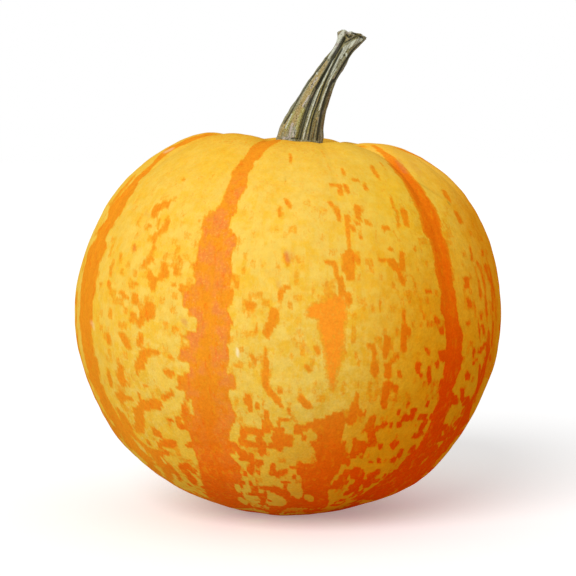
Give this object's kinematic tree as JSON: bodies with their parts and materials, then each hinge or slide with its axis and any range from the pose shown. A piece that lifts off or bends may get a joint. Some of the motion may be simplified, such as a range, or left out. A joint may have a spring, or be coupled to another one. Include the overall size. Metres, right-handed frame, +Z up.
{
  "type": "pumpkin",
  "caption": "Small round ribbed pumpkin with a curved dried stem flared at its cut end, standing on a small flat spot.",
  "frame": {"origin": "middle of the flat spot that the fruit rests on", "axes": "+Z up through the fruit, -Y towards the front, +X to the side that the stem leans to"},
  "size_m": [0.1711, 0.1706, 0.1925],
  "materials": {
    "pumpkin_skin": "satin",
    "dry_stem": "matte"
  },
  "bodies": {
    "root": {"fruit": "pumpkin_skin", "stem": "dry_stem"}
  },
  "joints": []
}
